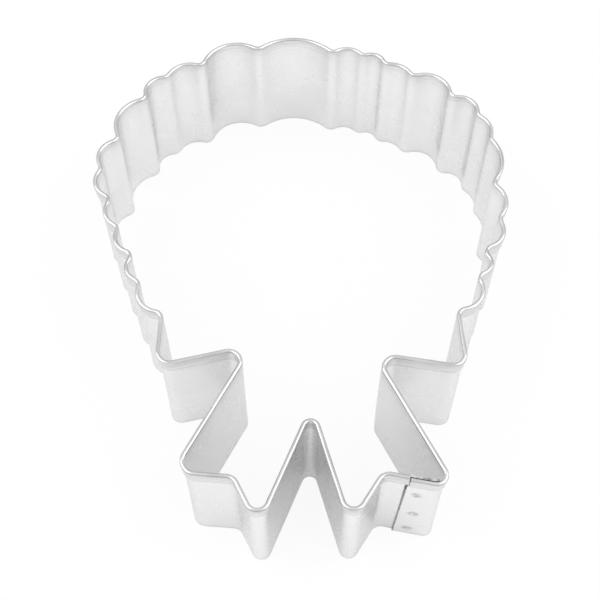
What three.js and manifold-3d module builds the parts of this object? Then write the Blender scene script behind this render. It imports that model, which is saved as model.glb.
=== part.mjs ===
// Award-ribbon cookie cutter: one tinplate strip bent to the outline of a rosette with two tails,
// hemmed outwards along its top edge, lapped on itself at the right tail and held by three spot welds.
// Millimetres, +Z up. The cutting edge stands on z = 0, the rosette points to +Y and the tails to -Y.
import * as THREE from "three";
import Module from "manifold-3d";

const wasm = await Module();
wasm.setup();

// Strip section
const STRIP_DEPTH = 25;
const SHEET_THICKNESS = 0.3;
const HEM_GAP = 0.25;
const HEM_HEIGHT = 3.0;

// Rosette: valleys lie about a circle, each lobe rises between two of them
const ROSETTE_RADIUS = 37.8;
const VALLEY_BEND = 1.0;
const LOBE_ROUNDING = 0.92;

// Ribbon: heights are measured down from the foot of the valley circle, widths from the rosette's middle
const SHOULDER_BEND = 2.3;
const WAIST_BEND = 2.1;
const LEFT_TAIL_BEND = 2.5;
const RIGHT_TAIL_BEND = 1.8;
const FOOT_BEND = 2.0;
const TIP_BEND = 1.9;
const NOTCH_BEND = 1.5;
const LEFT_SHOULDER = { across: -25.8, down: 0.9 };
const LEFT_WAIST = { across: -9.2, down: -3.1 };
const LEFT_TAIL = { across: -21.8, down: 20.9 };
const LEFT_FOOT = { across: -11.7, down: 21.7 };
const LEFT_TIP = { across: -7.6, down: 30.4 };
const NOTCH_TOP = { across: 1.1, down: 8.8 };
const RIGHT_TIP = { across: 7.5, down: 30.0 };
const RIGHT_FOOT = { across: 13.2, down: 21.0 };
const RIGHT_WAIST = { across: 12.4, down: -1.5 };
const RIGHT_SHOULDER = { across: 28.6, down: 1.2 };

// Right tail end: it starts at the right foot, falls by its slope and carries the lapped seam
const TAIL_END_LENGTH = 12.2;
const TAIL_END_SLOPE_DEG = 11;

// Lapped seam: the free edge of the outer layer leans towards the foot on its way down,
// and the inner layer goes on behind it into the tail's bend
const LAP_GAP = 0.1;
const LAP_TURN_DEG = 42;
const SEAM_FROM_FOOT = 4.3;
const SEAM_LEAN = 1.3;
const HEM_END_CLEARANCE = 0.3;
const NOTCH_DEPTH = 0.15;

// Spot welds: each is so far from the seam along the lap, and at a share of the strip's depth
const WELD_DIAMETER = 2.2;
const WELD_DISH = 0.12;
const WELD_CLEARANCE = 0.05;
const UPPER_WELD = { fromSeam: 1.8, heightShare: 0.73 };
const MIDDLE_WELD = { fromSeam: 1.9, heightShare: 0.39 };
const LOWER_WELD = { fromSeam: 1.3, heightShare: 0.105 };

// Valleys from the right shoulder over the top to the left one: clockwise angle from the top,
// distance outside the valley circle, and the rise of the lobe that follows.
const VALLEYS = [
  { angle: 134.5, out: 1.2, rise: 2.3 },
  { angle: 122, out: 0.1, rise: 1.5 },
  { angle: 113, out: -1.6, rise: 1.7 },
  { angle: 100.5, out: 0, rise: 1.6 },
  { angle: 88, out: -1.2, rise: 1.8 },
  { angle: 71.5, out: 1.3, rise: 1.0 },
  { angle: 62.5, out: 1.8, rise: 1.7 },
  { angle: 52.5, out: 0, rise: 2.6 },
  { angle: 38, out: -1.3, rise: 0.9 },
  { angle: 28, out: -1.6, rise: 1.1 },
  { angle: 20, out: -1.2, rise: 1.2 },
  { angle: 10, out: -2.1, rise: 3.1 },
  { angle: -14.5, out: -0.5, rise: 3.5 },
  { angle: -33.5, out: -0.1, rise: 1.4 },
  { angle: -44.5, out: 2.2, rise: 1.6 },
  { angle: -54.5, out: 1.3, rise: 2.9 },
  { angle: -71.5, out: 0.5, rise: 1.8 },
  { angle: -83, out: 1.9, rise: 1.7 },
  { angle: -93.5, out: -0.8, rise: 1.4 },
  { angle: -104.5, out: -1.7, rise: 1.4 },
  { angle: -115.5, out: -2.8, rise: 1.4 },
  { angle: -125.5, out: -0.9, rise: 1.8 },
  { angle: -137.5, out: 0, rise: 0 },
];

const RIM_HALF = SHEET_THICKNESS + HEM_GAP / 2;
const WALL_INSIDE = -RIM_HALF;
const WALL_OUTSIDE = WALL_INSIDE + SHEET_THICKNESS;
const LAP_STEP = SHEET_THICKNESS + LAP_GAP;

const TIN = { color: 0xd9dbdc, metalness: 1, roughness: 0.24 };
const WELD_TIN = { color: 0xc4c6c8, metalness: 1, roughness: 0.38 };

// A corner of the ribbon, with the radius that the strip is bent to there.
function ribbonCorner(place, bend) {
  return { at: new THREE.Vector2(place.across, -ROSETTE_RADIUS - place.down), bend };
}

// The place of a valley on the rosette.
function valleyPoint(valley) {
  const turn = THREE.MathUtils.degToRad(valley.angle);
  const radius = ROSETTE_RADIUS + valley.out;
  return new THREE.Vector2(radius * Math.sin(turn), radius * Math.cos(turn));
}

// Valleys and lobes in turn. A lobe's corner is where the tangents at its two valleys meet,
// which is twice its rise from the chord; a lobe has no set bend and rounds as far as it has room.
function rosetteCorners() {
  const corners = [];
  VALLEYS.forEach((valley, index) => {
    const here = valleyPoint(valley);
    corners.push({ at: here, bend: VALLEY_BEND });
    if (index === VALLEYS.length - 1) {
      return;
    }
    const next = valleyPoint(VALLEYS[index + 1]);
    const along = next.clone().sub(here).normalize();
    const outward = new THREE.Vector2(along.y, -along.x);
    const top = here.clone().add(next).multiplyScalar(0.5);
    top.addScaledVector(outward, 2 * valley.rise);
    corners.push({ at: top, bend: null });
  });
  return corners;
}

// The plan path of the strip through its corners, straight between bends and an arc at each bend.
function bentPath(start, corners, end) {
  const points = [start, ...corners.map((corner) => corner.at), end];
  const runs = points.slice(1).map((point, index) => point.clone().sub(points[index]));
  const turns = corners.map((corner, index) => {
    const before = runs[index];
    const after = runs[index + 1];
    return Math.atan2(before.cross(after), before.dot(after));
  });
  const trims = corners.map((corner, index) => {
    return corner.bend === null ? null : corner.bend * Math.tan(Math.abs(turns[index]) / 2);
  });
  corners.forEach((corner, index) => {
    if (corner.bend === null) {
      const before = runs[index].length() - trims[index - 1];
      const after = runs[index + 1].length() - trims[index + 1];
      trims[index] = LOBE_ROUNDING * Math.min(before, after);
    }
  });
  const path = new THREE.Path();
  path.moveTo(start.x, start.y);
  corners.forEach((corner, index) => {
    const heading = runs[index].clone().normalize();
    const radius = trims[index] / Math.tan(Math.abs(turns[index]) / 2);
    const side = Math.sign(turns[index]);
    const from = corner.at.clone().addScaledVector(heading, -trims[index]);
    const toCentre = new THREE.Vector2(-heading.y, heading.x).multiplyScalar(side * radius);
    const centre = from.clone().add(toCentre);
    const first = Math.atan2(-toCentre.y, -toCentre.x);
    path.lineTo(from.x, from.y);
    path.absarc(centre.x, centre.y, radius, first, first + turns[index], side < 0);
  });
  path.lineTo(end.x, end.y);
  return path;
}

// Points along a path without the doubles that abutting arcs leave.
function stationsOf(path) {
  const stations = [];
  path.getPoints(2).forEach((point) => {
    const last = stations[stations.length - 1];
    if (!last || last.distanceTo(point) > 0.005) {
      stations.push(point);
    }
  });
  return stations;
}

// The outward direction at each station, lengthened at a corner so that the sheet keeps its thickness.
function outwardAt(stations) {
  const rights = stations.slice(1).map((point, index) => {
    const run = point.clone().sub(stations[index]).normalize();
    return new THREE.Vector2(run.y, -run.x);
  });
  return stations.map((point, index) => {
    const before = rights[Math.max(index - 1, 0)];
    const after = rights[Math.min(index, rights.length - 1)];
    const middle = before.clone().add(after).normalize();
    return middle.divideScalar(middle.dot(after));
  });
}

// One closed body: the section carried along the stations, with both ends capped.
// The first end leans back by so much at the cutting edge and by nothing at the rim.
function sweep(section, stations, lean) {
  const outward = outwardAt(stations);
  const firstRun = stations[1].clone().sub(stations[0]).normalize();
  const count = section.length;
  const positions = [];
  stations.forEach((station, index) => {
    section.forEach((corner) => {
      const point = station.clone().addScaledVector(outward[index], corner.x);
      if (index === 0) {
        point.addScaledVector(firstRun, -lean * (1 - corner.y / STRIP_DEPTH));
      }
      positions.push(point.x, point.y, corner.y);
    });
  });
  const indices = [];
  for (let step = 0; step < stations.length - 1; step += 1) {
    for (let side = 0; side < count; side += 1) {
      const next = (side + 1) % count;
      const a = step * count + side;
      const b = step * count + next;
      const c = a + count;
      const d = b + count;
      indices.push(a, c, b, b, c, d);
    }
  }
  const last = (stations.length - 1) * count;
  THREE.ShapeUtils.triangulateShape(section, []).forEach(([a, b, c]) => {
    indices.push(a, b, c);
    indices.push(last + a, last + c, last + b);
  });
  const geometry = new THREE.BufferGeometry();
  geometry.setAttribute("position", new THREE.Float32BufferAttribute(positions, 3));
  geometry.setIndex(indices);
  return geometry;
}

// The wall with its top edge folded outwards and down again.
function hemmedSection() {
  const foldHeight = STRIP_DEPTH - RIM_HALF;
  const section = new THREE.Shape();
  section.moveTo(WALL_INSIDE, 0);
  section.lineTo(WALL_OUTSIDE, 0);
  section.lineTo(WALL_OUTSIDE, foldHeight);
  section.absarc(0, foldHeight, HEM_GAP / 2, Math.PI, 0, true);
  section.lineTo(HEM_GAP / 2, STRIP_DEPTH - HEM_HEIGHT);
  section.lineTo(RIM_HALF, STRIP_DEPTH - HEM_HEIGHT);
  section.lineTo(RIM_HALF, foldHeight);
  section.absarc(0, foldHeight, RIM_HALF, 0, Math.PI, false);
  return section.getPoints(2);
}

// The wall alone, as it goes under the lap with its hem notched away.
function plainSection() {
  const section = new THREE.Shape();
  section.moveTo(WALL_INSIDE, 0);
  section.lineTo(WALL_OUTSIDE, 0);
  section.lineTo(WALL_OUTSIDE, STRIP_DEPTH - NOTCH_DEPTH);
  section.lineTo(WALL_INSIDE, STRIP_DEPTH - NOTCH_DEPTH);
  return section.getPoints(1);
}

// A three.js body as a solid for boolean work.
function solidOf(geometry) {
  const bare = new THREE.BufferGeometry();
  const flat = geometry.index ? geometry.toNonIndexed() : geometry;
  bare.setAttribute("position", flat.getAttribute("position"));
  const mesh = new wasm.Mesh({
    numProp: 3,
    vertProperties: new Float32Array(bare.getAttribute("position").array),
    triVerts: new Uint32Array(bare.getAttribute("position").count).map((_, index) => index),
  });
  mesh.merge();
  return new wasm.Manifold(mesh);
}

// A boolean result as a three.js body.
function geometryOf(solid) {
  const mesh = solid.getMesh();
  const geometry = new THREE.BufferGeometry();
  geometry.setAttribute("position", new THREE.BufferAttribute(mesh.vertProperties, 3));
  geometry.setIndex(new THREE.BufferAttribute(mesh.triVerts, 1));
  geometry.computeVertexNormals();
  return geometry;
}

// The right tail end: its two layers run side by side along this direction.
const endSlope = THREE.MathUtils.degToRad(TAIL_END_SLOPE_DEG);
const endAlong = new THREE.Vector2(Math.cos(endSlope), -Math.sin(endSlope));
const endOutward = new THREE.Vector2(endAlong.y, -endAlong.x);
const rightFoot = ribbonCorner(RIGHT_FOOT, FOOT_BEND);

// A place on the tail end, so far along from the right foot and so far outside the inner layer.
function onTailEnd(along, outside) {
  return rightFoot.at.clone().addScaledVector(endAlong, along).addScaledVector(endOutward, outside);
}

const tabEnd = onTailEnd(SEAM_FROM_FOOT, LAP_STEP);
const hemEnd = onTailEnd(SEAM_FROM_FOOT - HEM_END_CLEARANCE, 0);
const rightTail = { at: onTailEnd(TAIL_END_LENGTH, LAP_STEP), bend: RIGHT_TAIL_BEND };
const rightWaist = ribbonCorner(RIGHT_WAIST, WAIST_BEND);

const corners = [
  rightTail,
  rightWaist,
  ribbonCorner(RIGHT_SHOULDER, SHOULDER_BEND),
  ...rosetteCorners(),
  ribbonCorner(LEFT_SHOULDER, SHOULDER_BEND),
  ribbonCorner(LEFT_WAIST, WAIST_BEND),
  ribbonCorner(LEFT_TAIL, LEFT_TAIL_BEND),
  ribbonCorner(LEFT_FOOT, FOOT_BEND),
  ribbonCorner(LEFT_TIP, TIP_BEND),
  ribbonCorner(NOTCH_TOP, NOTCH_BEND),
  ribbonCorner(RIGHT_TIP, TIP_BEND),
  rightFoot,
];

// The inner layer under the lap: straight along the tail end, then round inside the tail's bend.
function plainPath() {
  const start = onTailEnd(SEAM_FROM_FOOT - 2 * HEM_END_CLEARANCE, 0);
  const diagonal = rightWaist.at.clone().sub(rightTail.at);
  const turn = Math.atan2(endAlong.cross(diagonal), endAlong.dot(diagonal));
  const bendStart = TAIL_END_LENGTH - RIGHT_TAIL_BEND * Math.tan(turn / 2);
  const bendFrom = onTailEnd(bendStart, 0);
  const centre = onTailEnd(bendStart, LAP_STEP - RIGHT_TAIL_BEND);
  const first = Math.atan2(endOutward.y, endOutward.x);
  const lapTurn = THREE.MathUtils.degToRad(LAP_TURN_DEG);
  const path = new THREE.Path();
  path.moveTo(start.x, start.y);
  path.lineTo(bendFrom.x, bendFrom.y);
  path.absarc(centre.x, centre.y, RIGHT_TAIL_BEND - LAP_STEP, first, first + lapTurn, false);
  return path;
}

const hemmedRun = sweep(hemmedSection(), stationsOf(bentPath(tabEnd, corners, hemEnd)), SEAM_LEAN);
const plainRun = sweep(plainSection(), stationsOf(plainPath()), 0);

// Places a body made along +Z so that +Z points out of the tail end, from the inner face of the lap.
function setOnLap(geometry, weld) {
  const foot = onTailEnd(SEAM_FROM_FOOT + weld.fromSeam, WALL_INSIDE);
  const across = new THREE.Vector3(endAlong.x, endAlong.y, 0);
  const out = new THREE.Vector3(endOutward.x, endOutward.y, 0);
  const up = new THREE.Vector3().crossVectors(out, across);
  const pose = new THREE.Matrix4().makeBasis(across, up, out);
  pose.setPosition(foot.x, foot.y, weld.heightShare * STRIP_DEPTH);
  return geometry.applyMatrix4(pose);
}

// The fused button of one weld, through both layers, dished by the electrode on the outside.
function weldButton(weld) {
  const radius = WELD_DIAMETER / 2;
  const length = SHEET_THICKNESS + LAP_STEP;
  const profile = [
    new THREE.Vector2(0, 0),
    new THREE.Vector2(radius, 0),
    new THREE.Vector2(radius, length),
    new THREE.Vector2(0.7 * radius, length - 0.5 * WELD_DISH),
    new THREE.Vector2(0, length - WELD_DISH),
  ];
  const button = new THREE.LatheGeometry(profile, 24);
  button.rotateX(Math.PI / 2);
  return setOnLap(button, weld);
}

// The hole that one weld fills in both layers.
function weldHole(weld) {
  const radius = WELD_DIAMETER / 2 + WELD_CLEARANCE;
  const hole = new THREE.CylinderGeometry(radius, radius, 3, 24);
  hole.rotateX(Math.PI / 2);
  return setOnLap(hole, weld);
}

const welds = [
  { name: "spot_weld_upper", place: UPPER_WELD },
  { name: "spot_weld_middle", place: MIDDLE_WELD },
  { name: "spot_weld_lower", place: LOWER_WELD },
];

let stripSolid = solidOf(hemmedRun).add(solidOf(plainRun));
welds.forEach((weld) => {
  stripSolid = stripSolid.subtract(solidOf(weldHole(weld.place)));
});

// One named piece of the cutter.
function piece(name, geometry, finish) {
  const mesh = new THREE.Mesh(geometry, new THREE.MeshStandardMaterial(finish));
  mesh.name = name;
  return mesh;
}

const cutter = new THREE.Group();
cutter.name = "award_ribbon_cutter";
const strip = piece("cutter_strip", geometryOf(stripSolid), TIN);
cutter.add(strip);
welds.forEach((weld) => {
  cutter.add(piece(weld.name, weldButton(weld.place), WELD_TIN));
});

// The part's origin is under the middle of the strip's box.
strip.geometry.computeBoundingBox();
const middle = strip.geometry.boundingBox.getCenter(new THREE.Vector3());
cutter.position.set(-middle.x, -middle.y, 0);

export default cutter;
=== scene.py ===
"""Award-ribbon cookie cutter in bright tinplate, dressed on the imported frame.

One strip is bent to the outline of a scalloped rosette with two ribbon tails, hemmed outwards along its top
edge, lapped on itself at the right tail and held by three spot welds. Sizes are in millimetres where a name
or a docstring says so, and every mesh is in metres in the frame of the solids.
"""

import logging
from dataclasses import dataclass
from enum import Enum
from math import radians

import bpy
import numpy as np
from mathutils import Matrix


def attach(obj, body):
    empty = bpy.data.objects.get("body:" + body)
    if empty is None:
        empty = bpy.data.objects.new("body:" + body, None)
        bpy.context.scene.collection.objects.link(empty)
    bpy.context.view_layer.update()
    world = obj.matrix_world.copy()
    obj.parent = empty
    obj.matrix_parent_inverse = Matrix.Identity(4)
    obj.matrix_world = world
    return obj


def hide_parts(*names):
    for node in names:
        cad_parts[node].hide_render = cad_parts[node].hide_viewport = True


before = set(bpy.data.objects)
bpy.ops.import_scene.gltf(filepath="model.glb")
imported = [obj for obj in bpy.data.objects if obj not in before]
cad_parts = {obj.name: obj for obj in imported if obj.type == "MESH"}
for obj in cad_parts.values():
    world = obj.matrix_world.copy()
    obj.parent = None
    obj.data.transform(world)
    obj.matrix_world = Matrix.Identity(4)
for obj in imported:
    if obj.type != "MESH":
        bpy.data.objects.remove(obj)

MM = 0.001
SHARP_ANGLE = radians(38.0)
LOG = logging.getLogger("award_ribbon_cutter")

Pair = tuple[float, float]
Triple = tuple[float, float, float]
Socket = bpy.types.NodeSocket
Inputs = dict[str | int, object]


class Slot(Enum):
    """Material slots of the record."""

    TINPLATE = "tinplate"
    WELD = "weld"


class Layer(Enum):
    """Attributes that a piece's mesh carries for its finish."""

    PLAN = "strip_plan"
    # Wear of the cut edges and the welds' pressed tin, with painted shadow along the lap's free edge and the
    # plain end's top.
    WEAR_AND_SHADOW = "edge_wear"
    # Painted shade and painted dark reflection along the fold.
    FOLD_SHADE = "fold_rub"
    FOLD = "fold_polish"


def smooth_step(values: np.ndarray, low: float, high: float) -> np.ndarray:
    """Ease from 0 at low to 1 at high by three t squared minus two t cubed.

    Args:
        values: Any array of numbers.
        low: Where the ease starts.
        high: Where it ends.

    Returns:
        An array of the same shape, from 0 to 1.
    """
    t = np.clip((values - low) / (high - low), 0.0, 1.0)
    return t * t * (3.0 - 2.0 * t)


@dataclass(frozen=True)
class Valley:
    """One inward bend of the rosette, in degrees and millimetres.

    Attributes:
        angle: Clockwise angle from the rosette's top.
        out: Distance outside the valley circle.
        rise: Rise of the lobe that follows.
    """

    angle: float
    out: float
    rise: float


@dataclass(frozen=True)
class RibbonCorner:
    """One bend of the ribbon, in millimetres.

    Attributes:
        across: Distance to the right of the rosette's middle.
        down: Distance below the foot of the valley circle.
        bend: Radius that the strip is bent to.
    """

    across: float
    down: float
    bend: float


@dataclass
class PlanPath:
    """A plan line of straight runs and arcs, each run given by its start, heading, length and curvature.

    Attributes:
        starts: Start point of each run, in millimetres.
        headings: Heading at each start, in radians.
        lengths: Length of each run, in millimetres.
        curvatures: Turn per millimetre, positive to the left.
    """

    starts: np.ndarray
    headings: np.ndarray
    lengths: np.ndarray
    curvatures: np.ndarray

    @classmethod
    def through(cls, points: np.ndarray, bends: np.ndarray, rounding: float) -> "PlanPath":
        """Bend a polygon at its corners.

        A corner of radius r that turns by a takes r times tan(a / 2) from the runs beside it. A corner
        without a radius takes a share of the room that its neighbours leave.

        Args:
            points: Polygon points with both ends, in millimetres.
            bends: Bend radius of each inner point, not a number where the bend takes what room there is.
            rounding: Share of the room that such a bend takes.

        Returns:
            The path of runs and arcs.
        """
        runs = np.diff(points, axis=0)
        spans = np.hypot(runs[:, 0], runs[:, 1])
        headings = np.arctan2(runs[:, 1], runs[:, 0])
        turns = (np.diff(headings) + np.pi) % (2.0 * np.pi) - np.pi
        half_tan = np.tan(np.abs(turns) / 2.0)
        trims = bends * half_tan
        known = np.concatenate(([0.0], np.nan_to_num(trims), [0.0]))
        room = np.minimum(spans[:-1] - known[:-2], spans[1:] - known[2:])
        trims = np.where(np.isnan(trims), rounding * room, trims)
        radii = trims / half_tan
        ends = np.concatenate(([0.0], trims, [0.0]))
        unit = np.stack([np.cos(headings), np.sin(headings)], axis=1)
        count = len(spans) + len(turns)
        starts = np.zeros((count, 2))
        starts[0::2] = points[:-1] + unit * ends[:-1, None]
        starts[1::2] = points[1:-1] - unit[:-1] * trims[:, None]
        lengths = np.zeros(count)
        lengths[0::2] = spans - ends[:-1] - ends[1:]
        lengths[1::2] = radii * np.abs(turns)
        curvatures = np.zeros(count)
        curvatures[1::2] = np.sign(turns) / radii
        heading_of = np.zeros(count)
        heading_of[0::2] = headings
        heading_of[1::2] = headings[:-1]
        return cls(starts, heading_of, lengths, curvatures)

    @property
    def marks(self) -> np.ndarray:
        """Distance along the path at the start of each run and at the end of the last."""
        return np.concatenate(([0.0], np.cumsum(self.lengths)))

    def stations(self, straight: float, turn: float) -> np.ndarray:
        """Distances along the path that are close enough for smooth bends.

        Args:
            straight: Longest step on a straight run, in millimetres.
            turn: Largest turn in one step, in radians.

        Returns:
            Rising distances from the path's start to its end.
        """
        angles = np.abs(self.curvatures) * self.lengths
        steps = np.maximum(np.ceil(np.maximum(self.lengths / straight, angles / turn)), 1).astype(int)
        marks = self.marks
        pieces = [
            mark + length * np.arange(count) / count
            for mark, length, count in zip(marks[:-1], self.lengths, steps)
        ]
        return np.concatenate([*pieces, marks[-1:]])

    def at(self, distance: np.ndarray) -> tuple[np.ndarray, np.ndarray]:
        """Points and outward directions at distances along the path.

        After a distance t on a run of curvature k, the chord is t times sin(kt/2) over kt/2, along the mean
        heading.

        Args:
            distance: Distances from the path's start, in millimetres.

        Returns:
            Points in millimetres and unit directions to the right of travel.
        """
        marks = self.marks
        run = np.clip(np.searchsorted(marks, distance, side="right") - 1, 0, len(self.lengths) - 1)
        t = distance - marks[run]
        half = self.curvatures[run] * t / 2.0
        mean = self.headings[run] + half
        chord = (t * np.sinc(half / np.pi))[:, None]
        points = self.starts[run] + chord * np.stack([np.cos(mean), np.sin(mean)], axis=1)
        heading = mean + half
        return points, np.stack([np.sin(heading), -np.cos(heading)], axis=1)

    def carry(self, distance: np.ndarray, across: np.ndarray, height: np.ndarray) -> np.ndarray:
        """Carry a section along the path.

        A point stands at the plan point plus its distance across along the outward direction, at its height.

        Args:
            distance: Distance of each station along the path, in millimetres.
            across: Outward distances of stations by section points, in millimetres.
            height: Heights of the same, in millimetres.

        Returns:
            Stations by section points by three, in millimetres.
        """
        points, outward = self.at(distance)
        place = points[:, None, :] + across[:, :, None] * outward[:, None, :]
        return np.concatenate([place, height[:, :, None]], axis=2)


@dataclass
class RibbonOutline:
    """Plan of the cutter, in millimetres from the middle of the rosette.

    Attributes:
        middle: The rosette's middle in the part's frame.
        radius: Radius of the circle that the valleys lie about.
        valley_bend: Bend radius in a valley.
        lobe_rounding: Share of a lobe's flanks that its round top takes.
        end_length: Length of the right tail's end.
        end_slope: Fall of the right tail's end, in degrees.
        seam_from_foot: Where the lap's free edge lies along that end, at the rim.
        seam_lean: How far that edge leans to the foot on its way down.
        lap_turn: How far round the tail's bend the inner layer goes on, in degrees.
        lap_step: Distance between the two layers' middles.
        hem_clearance: Room between the inner layer's hem and the lap's free edge.
        right_tail_bend: Bend radius at the outer end of the right tail.
        right_waist: The ribbon's first corner; the others follow in their order along the strip.
        valleys: Bends of the rosette, from the right shoulder over the top to the left one.
    """

    middle: Pair = (0.687, 13.241)
    radius: float = 37.8
    valley_bend: float = 1.5
    lobe_rounding: float = 0.98
    end_length: float = 12.2
    end_slope: float = 11.0
    seam_from_foot: float = 4.3
    seam_lean: float = 1.3
    lap_turn: float = 42.0
    lap_step: float = 0.4
    hem_clearance: float = 0.3
    right_tail_bend: float = 1.8
    right_waist: RibbonCorner = RibbonCorner(12.4, -1.5, 2.1)
    right_shoulder: RibbonCorner = RibbonCorner(28.6, 1.2, 2.3)
    left_shoulder: RibbonCorner = RibbonCorner(-25.8, 0.9, 2.3)
    left_waist: RibbonCorner = RibbonCorner(-9.2, -3.1, 2.1)
    left_tail: RibbonCorner = RibbonCorner(-21.8, 20.9, 2.5)
    left_foot: RibbonCorner = RibbonCorner(-11.7, 21.7, 2.0)
    left_tip: RibbonCorner = RibbonCorner(-7.45, 30.26, 1.9)
    notch_top: RibbonCorner = RibbonCorner(1.35, 8.8, 1.3)
    right_tip: RibbonCorner = RibbonCorner(7.5, 30.0, 1.9)
    right_foot: RibbonCorner = RibbonCorner(13.2, 21.0, 2.0)
    valleys: tuple[Valley, ...] = (
        Valley(134.5, 1.2, 2.3),
        Valley(122.0, 0.1, 1.5),
        Valley(113.0, -1.6, 1.7),
        Valley(100.5, 0.0, 1.6),
        Valley(88.0, -1.2, 1.76),
        Valley(71.5, 1.3, 1.0),
        Valley(62.5, 1.8, 1.7),
        Valley(52.5, 0.0, 2.6),
        Valley(38.0, -1.3, 0.9),
        Valley(28.0, -1.6, 1.1),
        Valley(20.0, -1.2, 1.2),
        Valley(10.0, -2.1, 3.15),
        Valley(-14.5, -0.5, 3.5),
        Valley(-33.5, -0.1, 1.4),
        Valley(-44.5, 2.2, 1.6),
        Valley(-54.5, 1.3, 2.9),
        Valley(-71.5, 0.5, 1.8),
        Valley(-83.0, 1.9, 1.63),
        Valley(-93.5, -0.8, 1.4),
        Valley(-104.5, -1.7, 1.4),
        Valley(-115.5, -2.8, 1.4),
        Valley(-125.5, -0.9, 1.8),
        Valley(-137.5, 0.0, 0.0),
    )

    def ribbon_points(self, *corners: RibbonCorner) -> tuple[np.ndarray, np.ndarray]:
        """Places and bend radii of ribbon corners.

        Args:
            *corners: Corners in order along the strip.

        Returns:
            Points from the rosette's middle and their bend radii.
        """
        points = np.array([[corner.across, -self.radius - corner.down] for corner in corners])
        return points, np.array([corner.bend for corner in corners])

    def rosette_points(self) -> tuple[np.ndarray, np.ndarray]:
        """Valleys and lobe tops in turn, from the right shoulder over the top to the left one.

        A lobe's corner stands twice the lobe's rise outside the middle of the chord between its valleys.

        Returns:
            Points from the rosette's middle and their bend radii, not a number at the lobes.
        """
        angle = np.radians([valley.angle for valley in self.valleys])
        reach = self.radius + np.array([valley.out for valley in self.valleys])
        rise = np.array([valley.rise for valley in self.valleys])[:-1, None]
        low = np.stack([reach * np.sin(angle), reach * np.cos(angle)], axis=1)
        chord = np.diff(low, axis=0)
        outward = np.stack([chord[:, 1], -chord[:, 0]], axis=1)
        outward /= np.linalg.norm(outward, axis=1, keepdims=True)
        points = np.zeros((2 * len(low) - 1, 2))
        points[0::2] = low
        points[1::2] = (low[:-1] + low[1:]) / 2.0 + 2.0 * rise * outward
        bends = np.full(len(points), np.nan)
        bends[0::2] = self.valley_bend
        return points, bends

    def on_tail_end(self, along: float, outside: float) -> np.ndarray:
        """A place on the right tail's end.

        Args:
            along: Distance from the right foot.
            outside: Distance outside the inner layer.

        Returns:
            The point from the rosette's middle.
        """
        slope = radians(self.end_slope)
        foot = np.array([self.right_foot.across, -self.radius - self.right_foot.down])
        return foot + along * self.end_along() + outside * np.array([-np.sin(slope), -np.cos(slope)])

    def end_along(self) -> np.ndarray:
        """Unit direction along the right tail's end, away from its foot."""
        slope = radians(self.end_slope)
        return np.array([np.cos(slope), -np.sin(slope)])

    def to_part(self, points: np.ndarray) -> np.ndarray:
        """Move plan points from the rosette's middle to the part's frame."""
        return points + np.array(self.middle)

    def hemmed_path(self) -> PlanPath:
        """The strip's plan from the lap's free edge right round to the end of the inner layer's hem.

        Returns:
            The path in the part's frame.
        """
        right, right_bends = self.ribbon_points(self.right_waist, self.right_shoulder)
        rosette, rosette_bends = self.rosette_points()
        left, left_bends = self.ribbon_points(
            self.left_shoulder, self.left_waist, self.left_tail, self.left_foot,
            self.left_tip, self.notch_top, self.right_tip, self.right_foot,
        )
        start = self.on_tail_end(self.seam_from_foot, self.lap_step)
        tail = self.on_tail_end(self.end_length, self.lap_step)
        end = self.on_tail_end(self.seam_from_foot - self.hem_clearance, 0.0)
        points = np.vstack([start, tail, right, rosette, left, end])
        bends = np.concatenate([[self.right_tail_bend], right_bends, rosette_bends, left_bends])
        return PlanPath.through(self.to_part(points), bends, self.lobe_rounding)

    def plain_path(self) -> PlanPath:
        """The inner layer under the lap: straight along the tail's end, then round inside the tail's bend.

        Returns:
            The path in the part's frame.
        """
        along = self.end_along()
        tail = self.on_tail_end(self.end_length, self.lap_step)
        diagonal = self.ribbon_points(self.right_waist)[0][0] - tail
        turn = np.arctan2(along[0] * diagonal[1] - along[1] * diagonal[0], along @ diagonal)
        first = self.seam_from_foot - 2.0 * self.hem_clearance
        bend_from = self.end_length - self.right_tail_bend * np.tan(turn / 2.0)
        radius = self.right_tail_bend - self.lap_step
        starts = np.stack([self.on_tail_end(first, 0.0), self.on_tail_end(bend_from, 0.0)])
        lengths = np.array([bend_from - first, radius * radians(self.lap_turn)])
        headings = np.full(2, -radians(self.end_slope))
        curvatures = np.array([0.0, 1.0 / radius])
        return PlanPath(self.to_part(starts), headings, lengths, curvatures)


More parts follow.
